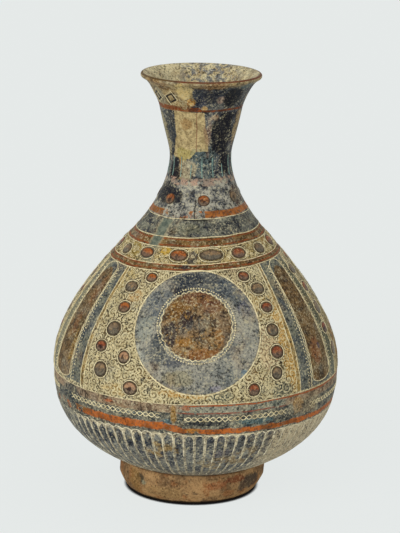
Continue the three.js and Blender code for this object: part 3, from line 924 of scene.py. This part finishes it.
def strewn_curls(tree, ground, spacing, radius, width, rotations, seed):
    """Small spirals strewn over the open ground of a patch of wall, turned every way."""
    inputs = {"Mesh": ground, "Distance Min": spacing, "Density Max": 6 / (spacing * spacing),
              "Density Factor": named(tree, "open", "FLOAT"), "Seed": seed}
    spots = geo(tree, "DistributePointsOnFaces", inputs, distribute_method="POISSON")
    bead = geo(tree, "CurvePrimitiveCircle", {"Resolution": 3, "Radius": width * 0.55})
    both = geo(tree, "JoinGeometry")
    for reverse in (False, True):
        inputs = {"Resolution": 9, "Rotations": rotations, "Start Radius": radius * 0.15,
                  "End Radius": radius, "Height": 0.0, "Reverse": reverse}
        spiral = geo(tree, "CurveSpiral", inputs)
        inputs = {"Curve": spiral, "Profile Curve": bead, "Fill Caps": True}
        curl = geo(tree, "GeometryToInstance", {0: geo(tree, "CurveToMesh", inputs)})
        plug(tree, curl, both.socket.node.inputs[0])
    inputs = {"Axis": (0, 0, 1), "Angle": chance(tree, 0, math.tau, seed=5)}
    about = add(tree, "FunctionNodeAxisAngleToRotation", inputs)
    inputs = {"Rotation": spots.beside("Rotation"), "Rotate By": about}
    lay = add(tree, "FunctionNodeRotateRotation", inputs, rotation_space="LOCAL")
    inputs = {"Points": spots, "Instance": both, "Pick Instance": True,
              "Instance Index": chance(tree, 0, 1, seed=7, kind="INT"), "Rotation": lay,
              "Scale": chance(tree, 0.75, 1.2, seed=6)}
    return geo(tree, "InstanceOnPoints", inputs)


def low_drop(tree, spots, rounds):
    """A low, round drop at each point, as wide and high as the point says."""
    ball = geo(tree, "MeshUVSphere", {"Segments": rounds, "Rings": 6, "Radius": 1.0})
    ball = stored(ball, "within", geo(tree, "InputPosition"))
    inputs = {"Primary Axis": named(tree, "out"), "Secondary Axis": named(tree, "east")}
    lay = add(tree, "FunctionNodeAxesToRotation", inputs, primary_axis="Z", secondary_axis="X")
    inputs = {"Points": geo(tree, "MeshToPoints", {0: spots}), "Instance": ball,
              "Rotation": lay, "Scale": named(tree, "size")}
    return geo(tree, "InstanceOnPoints", inputs)


WHEEL = geometry_tree("turned_on_the_wheel", {"Turns": "Int"}, wheel)
TRAIL = geometry_tree(
    "trailed_line", {"Width": "Float", "Height": "Float", "Unevenness": "Float"}, ridge)
BEADS = geometry_tree("row_of_beads", {"Step": "Float", "Radius": "Float"}, row_of_beads)
CURLS = geometry_tree("strewn_curls", {"Spacing": "Float", "Radius": "Float", "Width": "Float",
                                       "Rotations": "Float", "Seed": "Int"}, strewn_curls)
DROPS = geometry_tree("drops_of_enamel", {"Rounds": "Int"}, low_drop)


# The thrown sections


def turned(name, profile, inner, material):
    """A section thrown on the wheel, from its profile as radius and height."""
    points = [(radius, drift(height), height) for radius, height in profile]
    path = mesh_of(name, points, [(i, i + 1) for i in range(len(points) - 1)])
    note(path, "inner", inner, "FLOAT")
    mesh = grown(WHEEL, path, material, TURNS)
    mesh.set_sharp_from_angle(angle=SHARP)
    return mesh


def wall(radius_at, start, end):
    """Points of the inside or the outside of the wall, between two heights."""
    count = max(2, round(abs(end - start) / ROW) + 1)
    return [(radius_at(z), z) for z in np.linspace(start, end, count)]


def bend(start, middle, end, steps=6):
    """Points of a rounded corner."""
    start, middle, end = (np.array(p, float) for p in (start, middle, end))
    shares = np.linspace(0, 1, steps + 1)
    return [tuple((1 - t) ** 2 * start + 2 * t * (1 - t) * middle + t * t * end) for t in shares]


def section(name, low, high, material, lip=()):
    """A closed section of the wall, with what joins its outside to its inside at the top."""
    out = wall(outer_radius, low, min(high, OUTSIDE[-1, 1]))
    back = wall(inner_radius, min(high, INSIDE[-1, 1]), low)
    inner = [0.0] * len(out) + [0.5] * len(lip) + [1.0] * len(back) + [0.0]
    return turned(name, [*out, *lip, *back, out[0]], inner, material)


def carved(mesh, tool, operation="DIFFERENCE"):
    """A mesh less a tool, or the part of it inside the tool."""
    whole, cutter = (placed(m.name, m) for m in (mesh, tool))
    cut = whole.modifiers.new("cut", "BOOLEAN")
    cut.object = cutter
    cut.operation = operation
    cut.solver = "EXACT"
    made = applied(whole)
    for piece in (whole, cutter):
        bpy.data.objects.remove(piece)
    made.set_sharp_from_angle(angle=SHARP)
    made.name = mesh.name
    return made


def foot_chip(material):
    """The jagged lump that is missing from the foot's lower edge."""
    lump = bmesh.new()
    bmesh.ops.create_icosphere(lump, subdivisions=4, radius=1)
    for vertex in lump.verts:
        rough = 1 + 0.16 * noise.noise(vertex.co * 2.2) + 0.07 * noise.noise(vertex.co * 6)
        vertex.co = Vector(map(math.prod, zip(vertex.co, CHIP_SIZE))) * rough
    turn = Matrix.Rotation(math.radians(-CHIP_TURN), 4, "Z")
    lump.transform(Matrix.Scale(MM, 4) @ turn @ Matrix.Translation(CHIP_PLACE))
    mesh = bpy.data.meshes.new("foot_chip")
    lump.to_mesh(mesh)
    mesh.materials.append(material)
    return mesh


def fill_block(material):
    """The block of wall that the plaster fill takes the place of, with a broken edge."""
    corners = [(turn, MOUTH_SEAM - depth) for turn, depth in FILL_EDGE]
    edge = []
    for (turn, height), (next_turn, next_height) in zip(corners, corners[1:] + corners[:1]):
        for share in np.linspace(0, 1, 6)[:-1]:
            at = Vector((turn + (next_turn - turn) * share,
                         height + (next_height - height) * share, 0))
            if share > 0:
                at.x += 1.6 * noise.noise(at * 0.35)
                at.y += 0.7 * noise.noise(at * 0.35 + Vector((9, 9, 9)))
            edge.append(at)
    points = [round_the_axis(at.x, radius, at.y) for radius in FILL_RADII for at in edge]
    count = len(edge)
    faces = [tuple(range(count)), tuple(range(2 * count - 1, count - 1, -1))]
    faces += [(i, i + count, (i + 1) % count + count, (i + 1) % count) for i in range(count)]
    mesh = mesh_of("fill_block", points, faces=faces)
    block = bmesh.new()
    block.from_mesh(mesh)
    bmesh.ops.recalc_face_normals(block, faces=block.faces)
    block.to_mesh(mesh)
    mesh.materials.append(material)
    return mesh


def throw_foot():
    clay = finish("bare_clay", lay_foot, 0.85)
    shoulder = bend((FOOT_WAIST, FOOT_TOP - 5), (FOOT_WAIST, FOOT_TOP - 1.7),
                    (FOOT_TOP_RADIUS, FOOT_TOP))
    hollow = bend((PLUG_RADIUS, HOLLOW_EDGE), (PLUG_RADIUS, 0), (PLUG_RADIUS + 2, 0))
    heel = bend(*HEEL, 10)
    ring = [*heel, *shoulder, (PLUG_RADIUS, FOOT_TOP), *hollow, heel[0]]
    foot = turned("turned_foot", ring, [0.0] * len(ring), clay)
    shown("turned_foot", carved(foot, foot_chip(clay)), "foot_ring")


def throw_bowl():
    glaze = finish("bowl_glaze", lay_bowl, 0.55)
    inside = wall(inner_radius, BELLY_SEAM, FLOOR_EDGE)
    outside = wall(outer_radius, FOOT_TOP, BELLY_SEAM)
    edge = PLUG_RADIUS - PLUG_ROOM
    under = [(0, PLUG_UNDER + 1.2), (31, PLUG_UNDER), (edge - 1, PLUG_UNDER),
             (edge, PLUG_UNDER + 1), (edge, FOOT_TOP)]
    floor = [*bend(inside[-1], (44, FLOOR_TOP), (39, FLOOR_TOP))[1:], (0, FLOOR_TOP)]
    inner = [1.0] * len(under) + [0.0] * len(outside) + [1.0] * (len(inside) + len(floor))
    bowl = turned("thrown_bowl", [*under, *outside, *inside, *floor], inner, glaze)
    shown("thrown_bowl", bowl, "lower_bowl")


def throw_upper_sections():
    glaze = finish("body_glaze", lay_body, 0.55)
    body = section("thrown_body", BELLY_SEAM, NECK_SEAM, glaze)
    shown("thrown_body", body, "upper_body")
    glaze = finish("neck_glaze", lay_neck, 0.5)
    whole = section("thrown_neck", NECK_SEAM, MOUTH_SEAM, glaze)
    shown("thrown_neck", carved(whole, fill_block(glaze)), "neck")
    plaster = finish("plaster", lay_fill, 0.85)
    whole = section("plaster_fill", NECK_SEAM, MOUTH_SEAM, plaster)
    fill = carved(whole, fill_block(plaster), "INTERSECT")
    shown("plaster_fill", fill, "neck_fill")
    glaze = finish("mouth_glaze", lay_mouth, 0.5)
    facing = -math.radians(KNOTS[-1].lean)
    lip = [(LIP_CENTRE[0] + LIP_RADIUS * math.cos(a), LIP_CENTRE[1] + LIP_RADIUS * math.sin(a))
           for a in np.linspace(facing, facing + math.pi, 13)[1:-1]]
    mouth = section("flared_mouth", MOUTH_SEAM, OVERALL_HEIGHT, glaze, lip)
    shown("flared_mouth", mouth, "mouth_flare")


# The trailed enamel


def paths(name, strokes):
    """Paths on the wall, as angles and painted heights, closed where one ends as it starts."""
    points, outs, edges = [], [], []
    for stroke in strokes:
        closed = stroke[0] == stroke[-1]
        first = len(points)
        for turn, height in stroke[:-1] if closed else stroke:
            place, out = on_wall(turn, height)
            points.append(place)
            outs.append(out)
        edges += [(i, i + 1) for i in range(first, len(points) - 1)]
        if closed:
            edges.append((len(points) - 1, first))
    mesh = mesh_of(name, points, edges)
    note(mesh, "out", outs)
    return mesh


def ring_line(height, wave=0.5, shift=0.0):
    """A line round the pot that wanders a little."""
    stroke = []
    for turn in np.linspace(-180, 180, 241):
        x, y, _ = round_the_axis(turn, 3, 0)
        at = Vector((-y + shift, x, height))
        stroke.append((float(turn), height + wave * noise.noise(at)))
    return [*stroke[:-1], stroke[0]]


def circle_on_wall(turn, height, radius, steps=72, waves=0, depth=0.0, tall=1.0):
    """A circle, or a scalloped or taller one, drawn round a centre on the wall."""
    stroke = []
    for step in range(steps):
        angle = math.tau * step / steps
        reach = radius + depth * math.cos(waves * angle)
        if tall != 1:
            reach *= tall / math.hypot(tall * math.cos(angle), math.sin(angle))
        stroke.append(round_place(turn, height, reach, angle))
    return [*stroke, stroke[0]]


def ring_round(drop, room=0.9):
    wide = drop.wide + room
    return circle_on_wall(drop.turn, drop.height, wide, steps=20, tall=(drop.tall + room) / wide)


def upright(turn, low, high, wave=0.35):
    """A line up the wall that wanders a little."""
    count = max(2, round((high - low) / 3))
    return [(turn + wave * noise.noise(Vector((turn, height * 0.12, 0))), float(height))
            for height in np.linspace(low, high, count + 1)]


def trail(name, strokes, material, width=0.9, height=0.5, unevenness=0.35):
    mesh = grown(TRAIL, paths(name, strokes), material, width * MM, height * MM, unevenness)
    shown(name, mesh)


def beads(name, strokes, material, step, radius):
    mesh = grown(BEADS, paths(name, strokes), material, step * MM, radius * MM)
    shown(name, mesh)


def drops(name, spots, material):
    """Drops of enamel on the wall, each of its own size and colour."""
    places = [on_wall(drop.turn, drop.height) for drop in spots]
    mesh = mesh_of(name, [place for place, _ in places])
    note(mesh, "out", [out for _, out in places])
    note(mesh, "east", [(math.cos(math.radians(drop.turn)), math.sin(math.radians(drop.turn)), 0)
                        for drop in spots])
    note(mesh, "size", [(drop.wide * MM, drop.tall * MM, 0.45 * MM) for drop in spots])
    note(mesh, "tint", [(*linear(drop.colour)[:3], drop.eye) for drop in spots], "FLOAT_COLOR")
    shown(name, grown(DROPS, mesh, material, 18))


def patch(name, start, end, low, high, is_open, step=1.6):
    """A patch of wall between angles and heights, that knows where its ground is open."""
    per_degree = math.radians(outer_radius(PAINT_START + (low + high) / 2))
    columns = max(2, round((end - start) * per_degree / step))
    rows = max(2, round((high - low) / step))
    spots = [(start + (end - start) * column / columns, low + (high - low) * row / rows)
             for row in range(rows + 1) for column in range(columns + 1)]
    wide = columns + 1
    faces = [(i, i + 1, i + wide + 1, i + wide)
             for r in range(rows) for i in range(r * wide, r * wide + columns)]
    mesh = mesh_of(name, [on_wall(*spot, 0.05)[0] for spot in spots], faces=faces)
    note(mesh, "open", [float(is_open(*spot)) for spot in spots], "FLOAT")
    return mesh


def strew(name, area, is_open, material, spacing, radius, width, rotations, seed):
    """Curls strewn over an area, given as its angles and heights."""
    sizes = [size * MM for size in (spacing, radius, width)]
    mesh = grown(CURLS, patch(name, *area, is_open), material, *sizes, rotations, seed)
    shown(name, mesh)


def clear_of(circles):
    """A test for places on the wall outside every circle, given as centre and radius."""
    centres = [(on_wall(turn, height)[0], radius) for turn, height, radius in circles]

    def is_open(turn, height):
        place = on_wall(turn, height)[0]
        return all((place - centre).length > radius for centre, radius in centres)

    return is_open


def decorate_panels(cream, scroll_cream, umber, glossy):
    """Three scroll panels, each with a medallion among roundels, between narrow panels."""
    circles = [circle_on_wall(*centre, MEDALLION_RADIUS + 0.4, 120) for centre in MEDALLIONS]
    scallops = [circle_on_wall(*centre, HEART_RADIUS + 0.3, 240, 34, 0.55) for centre in HEARTS]
    dots = [circle_on_wall(*centre, HEART_RADIUS + 2.4, 90) for centre in HEARTS]
    roundels = [drop._replace(turn=drop.turn + turn - MEDALLIONS[0][0])
                for turn, _ in MEDALLIONS for drop in FRONT_ROUNDELS]
    rings = [ring_round(drop) for drop in roundels]
    trail("medallion_rings", circles, cream, 1.1, 0.6)
    trail("medallion_scallops", scallops, cream, 0.9, 0.6)
    beads("medallion_beads", dots, cream, 1.8, 0.55)
    trail("roundel_outlines", rings, umber, 2.1, 0.14)
    trail("roundel_rings", rings, cream)
    drops("roundels", roundels, glossy)
    taken = [(*centre, MEDALLION_RADIUS + 2) for centre in MEDALLIONS]
    taken += [(drop.turn, drop.height, max(drop.wide, drop.tall) + 2) for drop in roundels]
    is_open = clear_of(taken)
    starts = sorted(centre + NARROW_HALF for centre in NARROW_PANELS)
    ends = [start - 2 * NARROW_HALF + round_trip for start in starts for round_trip in (0, 360)]
    for number, start in enumerate(starts, 1):
        end = min(end for end in ends if end > start)
        area = (start + 2.4, end - 2.4, MAIN_LOW + 1.5, MAIN_HIGH - 1.5)
        strew(f"scrolls_{number}", area, is_open, scroll_cream, 4.6, 2.4, 0.5, 1.8, number)
        area = (start + 1.6, end - 1.6, MAIN_LOW + 1, MAIN_HIGH - 1)
        strew(f"commas_{number}", area, is_open, scroll_cream, 3, 1.1, 0.45, 0.8, number + 10)


def decorate_narrow_panels(cream):
    borders, scallops, dots = [], [], []
    for centre in NARROW_PANELS:
        for side in (-1, 1):
            borders += [upright(centre + side * off, MAIN_LOW, MAIN_HIGH)
                        for off in (NARROW_HALF, NARROW_HALF + BORDER_GAP)]
            scallops.append([(centre + side * (8 + 0.35 * math.cos(math.pi * k)),
                              MAIN_LOW + 1 + 1.25 * k) for k in range(64)])
            dots.append(upright(centre + side * 9.6, MAIN_LOW + 2, MAIN_HIGH - 2))
            borders.append(upright(centre + side * FIELD_HALF, FIELD_LOW, FIELD_HIGH))
        for foot, way in ((FIELD_LOW, -1), (FIELD_HIGH, 1)):
            borders.append([(centre + FIELD_HALF * math.cos(a), foot + way * 5 * math.sin(a))
                            for a in np.linspace(0, math.pi, 13)])
    trail("panel_borders", borders, cream, 0.8)
    trail("panel_scallops", scallops, cream, 0.7)
    beads("panel_beads", dots, cream, 2.4, 0.45)


def decorate_shoulder(cream, umber, glossy):
    """Rings round the shoulder, and a band of oval drops among scrolls."""
    rings = [ring_line(height) for height in (MAIN_HIGH + 0.6, 175.3, 185, 191)]
    trail("shoulder_rings", rings, cream, 0.8, 0.45)
    ovals = [drop._replace(turn=shift + drop.turn) for shift in (0, 120, -120)
             for drop in FRONT_OVALS]
    drops("shoulder_ovals", ovals, glossy)
    rings = [ring_round(drop) for drop in ovals]
    trail("oval_outlines", rings, umber, 1.9, 0.14)
    trail("oval_rings", rings, cream, 0.8)
    is_open = clear_of([(drop.turn, drop.height, drop.wide + 1.6) for drop in ovals])
    area = (-180, 180, SHOULDER_LOW + 1, SHOULDER_HIGH - 1)
    strew("shoulder_scrolls", area, is_open, cream, 3.2, 1.7, 0.6, 1.4, 31)


def decorate_neck(cream, glossy, green):
    """Roundels at the base of the neck, a line round it, and upright lines on its waist."""
    spots = [Drop(5.5 + 360 / 7 * number, 214, 4.3, 4.2, DUN if number == 1 else OCHRE_RED, 0.8)
             for number in range(7)]
    drops("neck_roundels", spots, glossy)
    trail("neck_rings", [ring_line(202.4, shift=4)], cream, 0.6, 0.35, 0.9)
    lines = [upright(-17 + 20 * number, 229, 243 if number % 3 else 238, 0.8)
             for number in range(18)]
    trail("neck_lines", lines, green, 0.8, 0.4, 0.6)


def decorate_mouth(cream, black, ochre):
    """Lozenges round the mouth where the paint isn't worn away."""
    outer, inner = [], []
    for turn in range(-169, -30, 26):
        for strokes, size in ((outer, 1.45), (inner, 0.95)):
            wide, tall = 6.6 * size, 3.6 * size
            corners = [(turn - wide, 287), (turn + 3, 286 + tall), (turn + wide, 285),
                       (turn - 3, 286 - tall)]
            strokes.append([*corners, corners[0]])
    worn = [(-17, 283), (-13, 285.6), (-8, 284), (-9, 281.5), (-16, 281.2), (-17, 283)]
    trail("mouth_lozenge_edges", outer, cream, 0.7, 0.4)
    trail("mouth_lozenges", inner, black, 2.2)
    trail("worn_lozenge", [worn], ochre, 0.8, 0.4)


def decorate_bowl(cream):
    """A double zigzag below the widest part, and flutes that end in arches above the foot."""
    zigzags = []
    for start, end in ((-172, -70), (-58, -13.5), (-4, 39), (52, 172)):
        height = 79.2 if start < -10 else 77.4
        turns = np.arange(start, end, ZIGZAG_PITCH / 8)
        for side in (-1, 1):
            zigzags.append([(float(t), height + side * 1.6 * math.cos(math.tau * t / ZIGZAG_PITCH))
                            for t in turns])
    trail("double_zigzag", zigzags, cream, 0.75, 0.45, 0.3)
    trail("bowl_rings", [ring_line(88.2, shift=7)], cream, 0.6, 0.35, 0.7)
    strokes = []
    for number in range(FLUTES):
        turn = number * FLUTE_PITCH - 180
        high = FLUTE_HIGH + (1.5 if turn < -8 else 0)
        sway = 0.4 * noise.noise(Vector((number * 1.7, 3, 1)))
        line = [(turn + sway * (1 - k), FLUTE_LOW + (high - FLUTE_LOW) * k)
                for k in np.linspace(0, 1, 16)]
        arch = [(turn + FLUTE_PITCH / 2 * (1 - math.cos(a)), high + 2.4 * math.sin(a))
                for a in np.linspace(0, math.pi, 9)[1:]]
        strokes.append(line + arch)
    worn_cream = enamel("flute_enamel", lay_flute_lines)
    trail("flute_lines", strokes, worn_cream, 0.8, 0.45, 1.1)


def build_object():
    throw_foot()
    throw_bowl()
    throw_upper_sections()
    cream = plain_enamel("cream_enamel", CREAM, (140, 118, 78))
    glossy = finish("coloured_enamel", lay_drop, 0.45, relief=0.1, specular=0.1)
    green = plain_enamel("green_enamel", (134, 166, 154), (84, 100, 98))
    black = plain_enamel("black_enamel", (16, 15, 18), (40, 36, 34), 0.3)
    ochre = plain_enamel("ochre_enamel", (166, 112, 50), (90, 72, 50), 0.3)
    scroll_cream = enamel("scroll_enamel", lay_scroll_lines)
    umber = plain_enamel("umber_enamel", (74, 60, 42), (44, 36, 28))
    decorate_panels(cream, scroll_cream, umber, glossy)
    decorate_narrow_panels(cream)
    decorate_shoulder(cream, umber, glossy)
    decorate_neck(cream, glossy, green)
    decorate_mouth(cream, black, ochre)
    decorate_bowl(cream)


build_object()

# Camera, light and floor

BACKDROP = (231, 235, 234)
CONTACT_SHADE = (22, 20, 20)
CONTACT_REACH = 3.5
CAMERA_PLACE = (1.5, -1624.5, 577.6)
CAMERA_PITCH = 14.303
CAMERA_ROLL = 1.064
FOCAL_PIXELS = 2341.8
SENSOR = 36
PHOTO_LONG_SIDE = 533
FLOOR_REACH = 12000
FLOOR_GLOW = 0.9
GLOW_STRENGTH = 1.02
SKY_STRENGTH = 0.44


def set_camera():
    camera = bpy.data.cameras.new("photo_camera")
    camera.sensor_width = SENSOR
    camera.lens = FOCAL_PIXELS * SENSOR / PHOTO_LONG_SIDE
    stand = placed("photo_camera", camera)
    tilt = Matrix.Rotation(math.radians(90 - CAMERA_PITCH), 4, "X")
    roll = Matrix.Rotation(math.radians(CAMERA_ROLL), 4, "Z")
    stand.matrix_world = Matrix.Translation(Vector(CAMERA_PLACE) * MM) @ tilt @ roll
    bpy.context.scene.camera = stand


def sun(name, azimuth, elevation, strength, size):
    """A soft sun that shines from an azimuth, 0 in front and 90 at the right."""
    light = bpy.data.lights.new(name, "SUN")
    light.energy = strength
    light.angle = math.radians(size)
    lamp = placed(name, light)
    low = math.radians(elevation)
    source = Vector(round_the_axis(azimuth, math.cos(low), math.sin(low)))
    lamp.rotation_mode = "QUATERNION"
    lamp.rotation_quaternion = source.to_track_quat("Z", "Y")


def seen_rays(tree):
    """1 for rays that show the background: from the camera, and in gloss or glass."""
    straight = add(tree, "ShaderNodeLightPath", output="Is Camera Ray")
    return largest(straight, straight.beside("Is Glossy Ray"),
                   straight.beside("Is Transmission Ray"))


def set_world():
    world = bpy.data.worlds.new("studio")
    bpy.context.scene.world = world
    tree = cleared(world)
    sky = add(tree, "ShaderNodeBackground", {"Color": (1, 1, 1, 1), "Strength": SKY_STRENGTH})
    wall_colour = add(tree, "ShaderNodeBackground", {"Color": linear(BACKDROP), "Strength": 1})
    choice = add(tree, "ShaderNodeMixShader", {0: seen_rays(tree), 1: sky, 2: wall_colour})
    add(tree, "ShaderNodeOutputWorld", {"Surface": choice})


def set_floor():
    """A wide floor in the backdrop's colour that keeps the pot's shadow."""
    material = bpy.data.materials.new("studio_floor")
    tree = cleared(material)
    # Painted contact shadow: where the pot is within CONTACT_REACH, the floor's colour, in its glow
    # as well as its matt part, darkens towards CONTACT_SHADE.
    near = add(tree, "ShaderNodeAmbientOcclusion", {"Distance": CONTACT_REACH * MM}, "AO")
    colour = paint(rise(near, 0.35, 0.9), CONTACT_SHADE, BACKDROP)
    matt = add(tree, "ShaderNodeBsdfDiffuse", {"Color": colour})
    glow = add(tree, "ShaderNodeEmission", {"Color": colour, "Strength": GLOW_STRENGTH})
    share = seen_rays(tree) * FLOOR_GLOW
    mixed = add(tree, "ShaderNodeMixShader", {0: share, 1: matt, 2: glow})
    add(tree, "ShaderNodeOutputMaterial", {"Surface": mixed})
    corners = [(x * FLOOR_REACH, y * FLOOR_REACH, 0)
               for x, y in ((-1, -1), (1, -1), (1, 1), (-1, 1))]
    mesh = mesh_of("studio_floor", corners, faces=[(0, 1, 2, 3)])
    mesh.materials.append(material)
    floor = placed("studio_floor", mesh)


set_camera()
set_world()
sun("window_left", -35, 20, 1.55, 50)
sun("window_right", 50, 12, 0.6, 60)
set_floor()
bpy.context.scene.view_settings.view_transform = "Standard"
